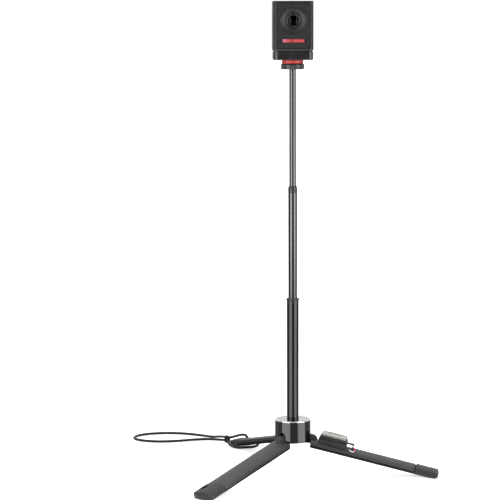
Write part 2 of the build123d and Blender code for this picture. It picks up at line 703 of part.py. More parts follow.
def build_camera_parts():
    """What the camera holds: light bar, frame, boards, battery, socket and top button."""
    with BuildPart() as bar:
        slab(FRONT_Y + 0.2, FRONT_Y + 2.6, BAR_WIDTH, BAR_TALL, BAR_HEIGHT, 0.9)
        chamfer(bar.faces().sort_by(Axis.Y)[0].edges(), 0.5)
        slab(FRONT_Y + 2.5, FRONT_Y + 3.4, BAR_WIDTH, BAR_TALL + 3.0, BAR_HEIGHT, 1.6)
    save(bar, "light_bar")

    middle = (CASE_BOTTOM + CASE_TOP) / 2
    plate_tall = CASE_TOP - CASE_BOTTOM - 2 * PLATE_MARGIN
    with BuildPart() as frame:
        slab(FRONT_Y + 3.6, FRONT_Y + 5.2, 43.0, 52.0, middle, 3.0)
        with BuildSketch(facing(FRONT_Y + 5.0)):
            with Locations((0, middle)):
                with GridLocations(PLATE_WIDTH - COVER_SCREW_INSET, plate_tall - COVER_SCREW_INSET, 2, 2):
                    Circle(2.6)
        extrude(amount=-(CASE_DEPTH - 5.0 - PLATE_THICK - 0.1))
        with BuildSketch(facing(FRONT_Y)):
            with Locations((0, LENS_HEIGHT)):
                Circle(BARREL_RADIUS + 0.1)
        extrude(amount=-20, mode=Mode.SUBTRACT)
        with BuildSketch(facing(BACK_Y)):
            with Locations((0, middle)):
                with GridLocations(PLATE_WIDTH - COVER_SCREW_INSET, plate_tall - COVER_SCREW_INSET, 2, 2):
                    Circle(1.05)
        extrude(amount=8, mode=Mode.SUBTRACT)
    save(frame, "inner_frame")

    with BuildPart() as sensor:
        slab(FRONT_Y + 17.2, FRONT_Y + 18.2, 27.0, 26.0, LENS_HEIGHT)
        slab(FRONT_Y + 16.1, FRONT_Y + 17.3, 9.0, 8.0, LENS_HEIGHT, 0.3)
    save(sensor, "sensor_board")

    with BuildPart() as board:
        slab(FRONT_Y + 20.0, FRONT_Y + 21.2, 27.0, 46.0, middle)
        slab(FRONT_Y + 21.1, FRONT_Y + 22.6, 12.0, 12.0, middle + 10, 0.4)
        slab(FRONT_Y + 21.1, FRONT_Y + 22.2, 8.0, 10.0, middle - 6, 0.4)
    save(board, "main_board")

    with BuildPart() as battery:
        slab(FRONT_Y + 24.0, FRONT_Y + 33.0, 27.0, 34.0, middle + 5, 3.0)
        fillet(battery.edges().filter_by(Axis.Z), 0.8)
    save(battery, "battery")

    with BuildPart() as port:
        slab(BACK_Y - 8.5, BACK_Y - 0.5, 8.9, 3.1, PORT_HEIGHT, 1.5)
        with BuildSketch(facing(BACK_Y - 7.5)):
            with Locations((0, PORT_HEIGHT)):
                RectangleRounded(8.3, 2.5, 1.2)
                Rectangle(6.6, 0.7, mode=Mode.SUBTRACT)
        extrude(amount=-10, mode=Mode.SUBTRACT)
        slab(BACK_Y - 11.0, BACK_Y - 3.0, 15.0, 1.0, PORT_HEIGHT - 2.0, 0.4)
    save(port, "usb_socket")

    with BuildPart() as button:
        tube(7.2, 0, CASE_TOP - 3.2, CASE_TOP - 2.2)
        tube(5.95, 0, CASE_TOP - 2.3, CASE_TOP + 0.3)
        fillet(button.edges().group_by(Axis.Z)[-1], 0.4)
    save(button, "power_button")


# ----------------------------------------------------------------- remote control


def along_leg(name, start, end, half, low, high):
    """A block on a leg, given by its distances out, half width and heights, added to the part."""
    with BuildSketch(beside(name)) as outline:
        with Locations(((start + end) / 2, (low + high) / 2)):
            Rectangle(end - start, high - low)
    extrude(outline.sketch, amount=half, both=True)


def build_remote():
    """The remote on the right leg: the clip it slides into, its case, cover and button."""
    end = REMOTE_START + REMOTE_LENGTH
    with BuildPart() as clip:
        with BuildSketch(across("right", REMOTE_START)):
            with BuildLine():
                half, seat = REMOTE_HALF + 0.2, CREST + 0.05
                side = crown(half, seat)
                ThreePointArc((-half, side), (0, seat), (half, side))
                Polyline((half, side), (half, CLIP_TOP - 1.2), (half - 1.2, CLIP_TOP),
                         (1.2 - half, CLIP_TOP), (-half, CLIP_TOP - 1.2), (-half, side))
            make_face()
        extrude(amount=REMOTE_LENGTH)
        with BuildSketch(across("right", REMOTE_START + 1.5)):
            with Locations((0, REMOTE_LOW - 2.25)):
                Rectangle(9.8, 2.1)
            with Locations((0, REMOTE_LOW - 0.8)):
                Rectangle(6.6, 1.2)
        extrude(amount=REMOTE_LENGTH, mode=Mode.SUBTRACT)
    save(clip, "remote_clip")

    lug_side, lug_up = ring_point(RING_RADIUS)
    lug_low, lug_high = 1.3, REMOTE_LOW + 2.0
    with BuildPart() as case:
        with BuildSketch(beside("right")):
            Polygon((REMOTE_START + 0.3, REMOTE_LOW), (end, REMOTE_LOW), (end - 1.7, REMOTE_HIGH),
                    (REMOTE_START + 2.0, REMOTE_HIGH), align=None)
        extrude(amount=REMOTE_HALF, both=True)
        with BuildSketch(above("right", REMOTE_HIGH + 1)):
            with Locations(((REMOTE_START + end) / 2, 0)):
                RectangleRounded(27.0, 17.6, 1.5)
        extrude(amount=-3.6, mode=Mode.SUBTRACT)
        along_leg("right", REMOTE_START + 1.8, end - 2.0, 4.6, REMOTE_LOW - 2.3, REMOTE_LOW - 1.4)
        along_leg("right", REMOTE_START + 1.8, end - 2.0, 3.0, REMOTE_LOW - 1.5, REMOTE_LOW + 0.2)
        with BuildSketch(above("right", REMOTE_LOW + 0.2)):
            with Locations(((end + RING_ALONG + 0.9) / 2 - 0.3, lug_side)):
                Rectangle(RING_ALONG + 0.9 - end + 0.6, 4.0)
        extrude(amount=1.8)
        with BuildSketch(across("right", RING_ALONG - 0.8)):
            with Locations((lug_side, (lug_low + lug_high) / 2)):
                RectangleRounded(4.0, lug_high - lug_low, 1.0)
            with Locations((lug_side, lug_up)):
                Circle(1.1, mode=Mode.SUBTRACT)
        extrude(amount=1.7)
    save(case, "remote_case")

    with BuildPart() as cover:
        middle = (REMOTE_START + end) / 2 + 0.3
        with BuildSketch(above("right", REMOTE_HIGH + 0.02)):
            with Locations((middle, 0)):
                RectangleRounded(31.5, 22.0, 2.0)
        extrude(amount=COVER_HIGH - REMOTE_HIGH)
        chamfer(cover.faces().sort_by(Axis.Z)[-1].edges(), 0.5)
        for lengthwise, wide, plane, depth in ((18.0, 12.0, above("right", COVER_HIGH - 0.4), 2),
                                               (14.0, 8.6, above("right", REMOTE_HIGH - 1), 9),
                                               (16.4, 11.0, above("right", REMOTE_HIGH - 1), 2.1)):
            with BuildSketch(plane):
                with Locations((middle, 0)):
                    RectangleRounded(lengthwise, wide, 1.2)
            extrude(amount=depth, mode=Mode.SUBTRACT)
    save(cover, "remote_cover")

    with BuildPart() as button:
        for lengthwise, wide, rise, thick in ((15.8, 10.4, 4.05, 0.6), (13.4, 8.0, 4.6, 0.9)):
            with BuildSketch(above("right", REMOTE_LOW + rise)):
                with Locations((middle, 0)):
                    RectangleRounded(lengthwise, wide, 1.0)
            extrude(amount=thick)
    save(button, "remote_button")

    with BuildPart() as cell:
        with BuildSketch(above("right", REMOTE_LOW + 1.1)):
            with Locations((middle - 2, 0)):
                Circle(8.0)
        extrude(amount=1.55)
    save(cell, "coin_cell")

    with BuildPart() as board:
        with BuildSketch(above("right", REMOTE_LOW + 2.75)):
            with Locations((middle - 0.3, 0)):
                RectangleRounded(26.4, 17.0, 1.2)
        extrude(amount=0.6)
    save(board, "remote_board")


def ring_point(reach):
    """Where the key ring's line crosses its middle plane: sideways and up, in the leg's frame."""
    lean = math.radians(RING_LEAN)
    side = -RING_STAND * math.sin(lean) + reach * math.cos(lean)
    return side, RING_STAND * math.cos(lean) - PIVOT_RADIUS + reach * math.sin(lean)


def ring_plane():
    """The plane the key ring lies in, leaning on the leg's near side."""
    pivot, out, left, up = leg_axes("right")
    lean = math.radians(RING_LEAN)
    side, rise = ring_point(0)
    normal = up * math.cos(lean) - left * math.sin(lean)
    return Plane(pivot + out * RING_ALONG + left * side + up * rise, x_dir=out, z_dir=normal)


def build_key_ring():
    """The split ring through the remote's lug, and the red sleeve on it."""
    plane = ring_plane()
    turn = Axis(plane.origin, plane.z_dir)
    with BuildPart() as ring:
        with BuildSketch(Plane(plane.origin, x_dir=plane.x_dir, z_dir=plane.y_dir * -1)):
            with Locations((RING_RADIUS, 0)):
                RectangleRounded(0.9, 1.2, 0.3)
        revolve(axis=turn, revolution_arc=360)
    save(ring, "split_ring")

    start = math.radians(15)
    across_x = plane.x_dir * math.cos(start) + plane.y_dir * math.sin(start)
    with BuildPart() as sleeve:
        with BuildSketch(Plane(plane.origin, x_dir=across_x,
                               z_dir=across_x.cross(plane.z_dir))):
            with Locations((RING_RADIUS, 0)):
                RectangleRounded(2.0, 2.2, 0.6)
                RectangleRounded(1.0, 1.3, 0.35, mode=Mode.SUBTRACT)
        revolve(axis=turn, revolution_arc=45)
    save(sleeve, "red_sleeve")


# ----------------------------------------------------------------- wrist strap


def build_strap():
    """The wrist strap: one limp cord from the back foot's slot, round in a loop and back."""
    points = [(POLE_X + x, POLE_Y + y, z) for x, y, z in STRAP_ROUTE]
    radii = []
    for before, corner, after in zip(points, points[1:], points[2:]):
        first, second = Vector(corner) - Vector(before), Vector(after) - Vector(corner)
        half_turn = math.radians(first.get_angle(second)) / 2
        radii.append(0.45 * min(first.length, second.length) / math.tan(half_turn))
    print("strap radii, mm:", [round(r, 1) for r in radii])
    with BuildPart() as strap:
        with BuildLine() as line:
            route = FilletPolyline(*points, radius=radii)
        start = Plane(route @ 0, z_dir=route % 0)
        with BuildSketch(start):
            Circle(STRAP_DIAMETER / 2)
        sweep(path=line.line)
        section = math.pi * STRAP_DIAMETER**2 / 4
        print("strap length, mm:", round(route.length, 1), "volume ratio:",
              round(strap.part.volume / (section * route.length), 4))
    save(strap, "strap_cord")

    with BuildPart() as slider:
        with BuildSketch(strap_slider_plane()):
            RectangleRounded(6.4, 10.6, 2.8)
            with Locations((0, STRAP_GAP / 2), (0, -STRAP_GAP / 2)):
                Circle(STRAP_DIAMETER / 2 + 0.25, mode=Mode.SUBTRACT)
        extrude(amount=2.5, both=True)
    save(slider, "strap_slider")


def strap_slider_plane():
    """The plane across the two strands where the slider holds them together."""
    x, y, z = STRAP_JOIN
    return Plane((POLE_X + x, POLE_Y + y, z), x_dir=(STRAP_HEADING[1], -STRAP_HEADING[0], 0),
                 z_dir=(STRAP_HEADING[0], STRAP_HEADING[1], 0))


for leg in LEG_ANGLES:
    build_leg(leg)
build_hub()
build_pole()
build_mount()
build_camera_base()
build_camera_case()
build_lens()
build_camera_parts()
build_remote()
build_key_ring()
build_strap()
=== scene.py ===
"""Looks for the webcam on its telescopic tripod: camera, light, materials and fine pieces."""

import json
import math

import bmesh
import bpy
from mathutils import Matrix, Vector


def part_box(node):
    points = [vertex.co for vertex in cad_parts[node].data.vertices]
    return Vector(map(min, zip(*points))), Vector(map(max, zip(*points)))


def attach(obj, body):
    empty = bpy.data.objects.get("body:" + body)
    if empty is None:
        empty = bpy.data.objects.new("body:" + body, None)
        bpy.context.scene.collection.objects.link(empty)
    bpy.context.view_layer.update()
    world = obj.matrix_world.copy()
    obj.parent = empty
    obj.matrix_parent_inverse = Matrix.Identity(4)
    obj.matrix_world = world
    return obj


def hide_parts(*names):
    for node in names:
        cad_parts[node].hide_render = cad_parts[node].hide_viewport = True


# Sizes are in metres, apart from the camera's lens and sensor and what a docstring gives in mm.

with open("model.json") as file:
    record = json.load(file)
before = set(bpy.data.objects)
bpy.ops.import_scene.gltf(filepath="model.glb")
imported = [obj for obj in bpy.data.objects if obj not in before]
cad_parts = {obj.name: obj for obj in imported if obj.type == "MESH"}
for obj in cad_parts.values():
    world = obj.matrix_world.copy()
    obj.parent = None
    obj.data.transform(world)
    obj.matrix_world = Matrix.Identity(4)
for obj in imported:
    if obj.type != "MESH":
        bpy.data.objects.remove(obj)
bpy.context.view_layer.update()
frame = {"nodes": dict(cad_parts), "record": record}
NODES = frame["nodes"]
MM = 0.001


def middle(node):
    """The middle of a CAD node's box."""
    low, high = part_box(node)
    return (low + high) / 2


POLE = middle("bottom_tube") * Vector((1, 1, 0))

# ----------------------------------------------------------------- camera

# The camera stands this far from the pole and a little to the side of straight ahead. Its heading
# turns it back towards the pole, and its pitch looks down.
VIEW_DISTANCE = 2.494
VIEW_HEIGHT = 0.57
VIEW_SIDE = math.radians(-2.7)
VIEW_HEADING = math.radians(-1.462)
VIEW_PITCH = math.radians(6.49)
VIEW_ROLL = math.radians(-0.17)
VIEW_LENS = 143.19
SENSOR_WIDTH = 36.0
CLIP_START = 0.05
CLIP_END = 100.0


def add_camera():
    """The camera, standing a little to the object's left and looking slightly down."""
    data = bpy.data.cameras.new("view")
    data.sensor_width = SENSOR_WIDTH
    data.lens = VIEW_LENS
    data.clip_start, data.clip_end = CLIP_START, CLIP_END
    camera = bpy.data.objects.new("view", data)
    bpy.context.scene.collection.objects.link(camera)
    offset = Vector((math.sin(VIEW_SIDE), -math.cos(VIEW_SIDE), 0)) * VIEW_DISTANCE
    place = Matrix.Translation(POLE + offset + Vector((0, 0, VIEW_HEIGHT)))
    heading = Matrix.Rotation(VIEW_HEADING, 4, "Z")
    pitch = Matrix.Rotation(math.pi / 2 - VIEW_PITCH, 4, "X")
    camera.matrix_world = place @ heading @ pitch @ Matrix.Rotation(VIEW_ROLL, 4, "Z")
    bpy.context.scene.camera = camera


add_camera()
bpy.context.scene.view_settings.view_transform = "Standard"

# ----------------------------------------------------------------- the legs

# A leg's hinge is at this radius and height, and the leg falls away from it at the slope. The
# groove at the near end of its foot ends this far along the leg from the hinge.
PIVOT_RADIUS = 0.016
PIVOT_HEIGHT = 0.0461
LEG_SLOPE = math.radians(13.0)
SEAM_END = 0.1454

# ----------------------------------------------------------------- node helpers

# The colour sockets of a Mix node.
MIX_FIRST, MIX_SECOND, MIX_RESULT = 6, 7, 2

BEVEL_SAMPLES = 6
EDGE_LOW, EDGE_HIGH = 0.015, 0.12


class Look:
    """One material: a Principled shader and the nodes that feed it, in the piece's own space.

    The scale of a noise or of cells is about how many features it has in a metre.
    """

    def __init__(self, name, color, roughness, **constants):
        self.material = bpy.data.materials.new(name)
        self.material.use_nodes = True
        self.tree = self.material.node_tree
        self.shader = self.tree.nodes["Principled BSDF"]
        self.space = self.node("ShaderNodeTexCoord").outputs["Object"]
        self.set("Base Color", (*color, 1.0))
        self.set("Roughness", roughness)
        for key, value in constants.items():
            self.set(key.replace("_", " "), value)

    def node(self, kind, **settings):
        """A new node with these settings."""
        made = self.tree.nodes.new(kind)
        for key, value in settings.items():
            setattr(made, key, value)
        return made

    def set(self, socket, value):
        """Sets a socket of the shader to a value, or links it to another node's output."""
        self.feed(self.shader.inputs[socket], value)

    def feed(self, socket, value):
        """Sets any input socket to a value, or links it to another node's output."""
        if isinstance(value, bpy.types.NodeSocket):
            self.tree.links.new(value, socket)
        else:
            socket.default_value = value

    def math(self, operation, first, second=0.0, third=0.0):
        """The result of one Math node."""
        made = self.node("ShaderNodeMath", operation=operation)
        for socket, value in zip(made.inputs, (first, second, third)):
            self.feed(socket, value)
        return made.outputs[0]

    def span(self, value, low, high, start=0.0, end=1.0):
        """Maps a value from low..high to start..end, clamped."""
        made = self.node("ShaderNodeMapRange")
        for socket, number in zip(made.inputs, (value, low, high, start, end)):
            self.feed(socket, number)
        return made.outputs[0]

    def mix(self, share, first, second):
        """Mixes two colours."""
        made = self.node("ShaderNodeMix", data_type="RGBA")
        self.feed(made.inputs[0], share)
        for place, value in ((MIX_FIRST, first), (MIX_SECOND, second)):
            linked = isinstance(value, bpy.types.NodeSocket)
            self.feed(made.inputs[place], value if linked else (*value, 1.0))
        return made.outputs[MIX_RESULT]

    def stretched(self, scale):
        """The piece's own space, scaled by a different number along each axis."""
        made = self.node("ShaderNodeMapping")
        self.feed(made.inputs["Vector"], self.space)
        made.inputs["Scale"].default_value = scale
        return made.outputs[0]

    def noise(self, scale, detail=3.0, stretch=None, distortion=0.0):
        """Cloudy noise, in the piece's own space or in that space stretched."""
        made = self.node("ShaderNodeTexNoise")
        self.feed(made.inputs["Vector"], self.stretched(stretch) if stretch else self.space)
        made.inputs["Scale"].default_value = scale
        made.inputs["Detail"].default_value = detail
        made.inputs["Distortion"].default_value = distortion
        return made.outputs["Fac"]

    def cells(self, scale):
        """The distance from the middle of the nearest cell, for dust, pads and traces."""
        made = self.node("ShaderNodeTexVoronoi")
        self.feed(made.inputs["Vector"], self.space)
        made.inputs["Scale"].default_value = scale
        return made.outputs["Distance"]

    def axis(self, letter):
        """One coordinate in the piece's own space."""
        made = self.node("ShaderNodeSeparateXYZ")
        self.feed(made.inputs[0], self.space)
        return made.outputs[letter]

    def from_pole(self):
        """The distance from the pole's line."""
        aside = self.math("SUBTRACT", self.axis("X"), POLE.x)
        ahead = self.math("SUBTRACT", self.axis("Y"), POLE.y)
        return self.math("SQRT", self.math("MULTIPLY_ADD", aside, aside,
                                           self.math("MULTIPLY", ahead, ahead)))

    def edges(self, radius):
        """Nearly 1 along the piece's edges and 0 elsewhere, and the normal with edges rounded."""
        rounded = self.node("ShaderNodeBevel", samples=BEVEL_SAMPLES)
        rounded.inputs["Radius"].default_value = radius
        flat = self.node("ShaderNodeNewGeometry").outputs["Normal"]
        dot = self.node("ShaderNodeVectorMath", operation="DOT_PRODUCT")
        self.feed(dot.inputs[0], rounded.outputs[0])
        self.feed(dot.inputs[1], flat)
        away = self.math("SUBTRACT", 1.0, dot.outputs["Value"])
        return self.span(away, EDGE_LOW, EDGE_HIGH), rounded.outputs[0]

    def painted(self):
        """What feeds the shader's colour so far."""
        return self.shader.inputs["Base Color"].links[0].from_socket

    def bump(self, height, depth, strength, normal=None):
        """A normal that follows a height, which counts for up to this depth."""
        made = self.node("ShaderNodeBump")
        made.inputs["Distance"].default_value = depth
        made.inputs["Strength"].default_value = strength
        self.feed(made.inputs["Height"], height)
        if normal is not None:
            self.feed(made.inputs["Normal"], normal)
        return made.outputs[0]


def tinted(color, factor):
    """A colour made darker or paler."""
    return tuple(min(1.0, c * factor) for c in color)


# ----------------------------------------------------------------- finishes

DUST = (0.25, 0.25, 0.24)
PAD_GOLD = (0.55, 0.42, 0.16)
# The colour of the light bar's painted glow at one end.
BAR_GLOW_PAINT = (0.62, 0.22, 0.30)

# The hub's painted highlight, a pale metallic line round its top edge, fades in between these
# radii, and between these drops from its top.
RIM_HIGHLIGHT_PAINT = (0.62, 0.62, 0.61)
RIM_INNER, RIM_OUTER = 21.5 * MM, 21.8 * MM
RIM_LOW, RIM_HIGH = 1.5 * MM, 1.2 * MM

# The camera's ridge line, a painted highlight along the sleeve's lower edge, fades out between
# these heights above that edge.
CASE_RIDGE_HIGHLIGHT = (0.065, 0.062, 0.064)
RIDGE_FULL, RIDGE_TOP = 1.1 * MM, 1.5 * MM

# The painted shade in the foot's groove, and how softly it ends.
SEAM_SHADE_PAINT = (0.001, 0.001, 0.001)
SEAM_SOFT = 0.2 * MM

# The distance from one turned circle of the lens dish to the next, and between the bar's ribs.
DISH_TURN = 0.25 * MM
BAR_RIB = 0.8 * MM


def moulded(name, color, roughness, grain=0.35, depth=0.02, wear_and_highlight=1.8, radius=0.5, **constants):
    """Moulded or painted plastic: a fine grain, soft patches of wear, and paler edges that are
    partly wear and partly a painted highlight.

    The grain, its depth and the edges' radius are in mm.
    """
    look = Look(name, color, roughness, **constants)
    patches = look.noise(55.0, 4.0)
    shade = look.mix(look.span(patches, 0.35, 0.7), tinted(color, 0.88), tinted(color, 1.12))
    speck = look.noise(900.0, 2.0)
    shade = look.mix(look.span(speck, 0.62, 0.8, 0.0, 0.35), shade, tinted(color, 1.7))
    edge, rounded = look.edges(radius * MM)
    patchy_edge = look.span(look.noise(240.0, 5.0), 0.35, 0.65, 0.45, 1.0)
    edge = look.math("MULTIPLY", edge, patchy_edge)
    # The edges turn paler: partly wear, partly a painted highlight of light caught along them.
    look.set("Base Color", look.mix(edge, shade, tinted(color, wear_and_highlight)))
    rough = look.span(patches, 0.3, 0.7, roughness - 0.05, roughness + 0.06)
    look.set("Roughness", look.math("SUBTRACT", rough, look.math("MULTIPLY", edge, 0.08)))
    texture = look.noise(1.0 / (grain * MM), 2.0)
    look.set("Normal", look.bump(texture, depth * MM, 0.8, rounded))
    return look


def glossy(name, color, roughness, radius=0.4, smears=0.10, **constants):
    """Polished plastic or lacquer: clear reflections with faint smears and dust.

    The edges' radius is in mm.
    """
    look = Look(name, color, roughness, **constants)
    smear = look.span(look.noise(38.0, 5.0, distortion=1.5), 0.5, 0.75)
    dust = look.span(look.cells(750.0), 0.12, 0.02)
    dust = look.math("MULTIPLY", dust, look.span(look.noise(120.0), 0.5, 0.7))
    look.set("Base Color", look.mix(look.math("MULTIPLY", dust, 0.5), color, DUST))
    rough = look.math("MULTIPLY_ADD", smear, smears, roughness)
    look.set("Roughness", look.math("MULTIPLY_ADD", dust, 0.3, rough))
    _, rounded = look.edges(radius * MM)
    look.set("Normal", look.bump(look.noise(160.0, 2.0), 0.004 * MM, 0.6, rounded))
    return look


def hub_lacquer(name, color, roughness, **constants):
    """The hub's mirror gloss, with a painted highlight: a pale metallic line round its top edge.
    """
    look = glossy(name, color, roughness, radius=0.6, **constants)
    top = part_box("hub_shell")[1].z
    high = look.span(look.axis("Z"), top - RIM_LOW, top - RIM_HIGH)
    outer = look.span(look.from_pole(), RIM_INNER, RIM_OUTER)
    line = look.math("MULTIPLY", high, outer)
    look.set("Base Color", look.mix(line, color, RIM_HIGHLIGHT_PAINT))
    look.set("Metallic", line)
    return look


def turned_metal(name, color, roughness):
    """Turned metal: fine lines round the upright axis over a soft cloudiness."""
    look = Look(name, color, roughness, Metallic=1.0)
    lines = look.noise(1.0, 3.0, stretch=(60.0, 60.0, 9000.0))
    cloud = look.noise(90.0, 3.0)
    look.set("Base Color", look.mix(look.span(lines, 0.3, 0.7), tinted(color, 0.8),
                                    tinted(color, 1.15)))
    rough = look.span(lines, 0.3, 0.7, roughness - 0.06, roughness + 0.06)
    look.set("Roughness", look.math("MULTIPLY_ADD", cloud, 0.08, rough))
    _, rounded = look.edges(0.15 * MM)
    look.set("Normal", look.bump(lines, 0.003 * MM, 0.5, rounded))
    return look


def anodised(name, color, roughness):
    """Black anodised drawn tube: fine lengthwise drawing lines and a few rub marks."""
    look = Look(name, color, roughness, Metallic=1.0)
    drawn = look.noise(1.0, 3.0, stretch=(2600.0, 2600.0, 14.0))
    rub = look.span(look.noise(1.0, 4.0, stretch=(300.0, 300.0, 30.0)), 0.6, 0.78)
    shade = look.mix(look.span(drawn, 0.3, 0.7), tinted(color, 0.85), tinted(color, 1.15))
    look.set("Base Color", look.mix(look.math("MULTIPLY", rub, 0.4), shade, tinted(color, 1.5)))
    rough = look.span(drawn, 0.3, 0.7, roughness - 0.03, roughness + 0.03)
    look.set("Roughness", look.math("MULTIPLY_ADD", rub, 0.12, rough))
    look.set("Normal", look.bump(drawn, 0.002 * MM, 0.5))
    return look


def case_shell(name, color, roughness, **constants):
    """The camera's sleeve, with a painted highlight: a paler line along its lower edge."""
    look = moulded(name, color, roughness, **constants)
    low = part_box("camera_case")[0].z
    line = look.span(look.axis("Z"), low + RIDGE_TOP, low + RIDGE_FULL)
    look.set("Base Color", look.mix(line, look.painted(), CASE_RIDGE_HIGHLIGHT))
    return look


def rubber(name, color, roughness):
    """Foot rubber: matt and pitted, with paler edges, partly wear and partly a painted highlight,
    and painted shade in the groove next to the leg.
    """
    look = moulded(name, color, roughness, grain=0.55, depth=0.05, wear_and_highlight=1.5, radius=0.9,
                   Specular_IOR_Level=0.35, Sheen_Weight=0.08)
    out = look.math("SUBTRACT", look.from_pole(), PIVOT_RADIUS)
    drop = look.math("SUBTRACT", PIVOT_HEIGHT, look.axis("Z"))
    along = look.math("MULTIPLY_ADD", out, math.cos(LEG_SLOPE),
                      look.math("MULTIPLY", drop, math.sin(LEG_SLOPE)))
    # Painted shade: the groove is made black and metallic, so that it reflects nothing.
    groove_shade = look.span(along, SEAM_END + SEAM_SOFT, SEAM_END)
    look.set("Base Color", look.mix(groove_shade, look.painted(), SEAM_SHADE_PAINT))
    look.set("Metallic", groove_shade)
    return look


def board(name, color):
    """A circuit board: solder mask with fine traces and gold pads."""
    look = Look(name, color, 0.35)
    traces = look.span(look.cells(420.0), 0.34, 0.38)
    pads = look.span(look.cells(900.0), 0.16, 0.13)
    shade = look.mix(traces, color, tinted(color, 1.8))
    look.set("Base Color", look.mix(pads, shade, PAD_GOLD))
    look.set("Metallic", look.math("MULTIPLY", pads, 0.9))
    look.set("Normal", look.bump(traces, 0.02 * MM, 0.6))
    return look


def lens_glass(name, color):
    """Coated glass: clear, weakly mirroring and tinted, with specks of dust."""
    look = Look(name, color, 0.02, Transmission_Weight=1.0, IOR=1.22, Specular_IOR_Level=0.2)
    dust = look.span(look.cells(1400.0), 0.08, 0.03)
    look.set("Roughness", look.math("MULTIPLY_ADD", dust, 0.2, 0.02))
    look.set("Normal", look.bump(look.noise(90.0), 0.001 * MM, 0.3))
    return look


def braided(name, color):
    """Cord braid: matt yarn with fine filaments that shimmer a little."""
    look = Look(name, color, 0.72, Sheen_Weight=0.25, Sheen_Roughness=0.5,
                Specular_IOR_Level=0.3)
    fluff = look.noise(5200.0, 3.0)
    patch = look.noise(140.0, 3.0)
    shade = look.mix(look.span(fluff, 0.35, 0.7), tinted(color, 0.5), tinted(color, 2.2))
    look.set("Base Color", look.mix(look.span(patch, 0.4, 0.7, 0.0, 0.4), shade,
                                    tinted(color, 1.6)))
    look.set("Roughness", look.span(fluff, 0.3, 0.7, 0.6, 0.85))
    look.set("Normal", look.bump(fluff, 0.04 * MM, 0.8))
    return look


def dish_metal(name, color, roughness):
    """The lens dish: satin metal with fine circles turned round the lens's line."""
    look = Look(name, color, roughness, Metallic=0.6, Specular_IOR_Level=0.5)
    centre = middle("lens_dish")
    across = look.math("SUBTRACT", look.axis("X"), centre.x)
    rise = look.math("SUBTRACT", look.axis("Z"), centre.z)
    reach = look.math("SQRT", look.math("ADD", look.math("MULTIPLY", across, across),
                                        look.math("MULTIPLY", rise, rise)))
    rings = look.math("SINE", look.math("MULTIPLY", reach, 2 * math.pi / DISH_TURN))
    cloud = look.noise(130.0, 3.0)
    look.set("Base Color", look.mix(look.span(cloud, 0.35, 0.7), tinted(color, 0.85),
                                    tinted(color, 1.15)))
    look.set("Roughness", look.span(cloud, 0.3, 0.7, roughness - 0.05, roughness + 0.07))
    look.set("Normal", look.bump(rings, 0.006 * MM, 0.4))
    return look


def lit_red(name, color):
    """The red light bar: clear red plastic, darker round its middle, with a painted glow at one
    end where light gathers in it.
    """
    look = Look(name, color, 0.2, Coat_Weight=0.4, Coat_Roughness=0.08,
                Specular_IOR_Level=0.6)
    low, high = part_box("light_bar")
    along = look.span(look.axis("X"), low.x, high.x)
    end = look.span(along, 0.30, 0.08)
    dip = look.math("ABSOLUTE", look.math("SUBTRACT", along, 0.45))
    dark = look.span(dip, 0.16, 0.02, 0.0, 0.6)
    shade = look.mix(dark, color, tinted(color, 0.5))
    # Painted glow: the bar turns paler towards one end, though it gives no light.
    shade = look.mix(look.math("MULTIPLY", end, 0.7), shade, BAR_GLOW_PAINT)
    look.set("Base Color", shade)
    ribs = look.math("SINE", look.math("MULTIPLY", look.axis("X"), 2 * math.pi / BAR_RIB))
    look.set("Normal", look.bump(ribs, 0.01 * MM, 0.25))
    look.set("Roughness", look.span(look.noise(300.0), 0.3, 0.7, 0.16, 0.28))
    return look


BLACK = (0.012, 0.012, 0.0125)
DEEP_BLACK = (0.006, 0.006, 0.0065)
LEG_BLACK = (0.019, 0.019, 0.0193)

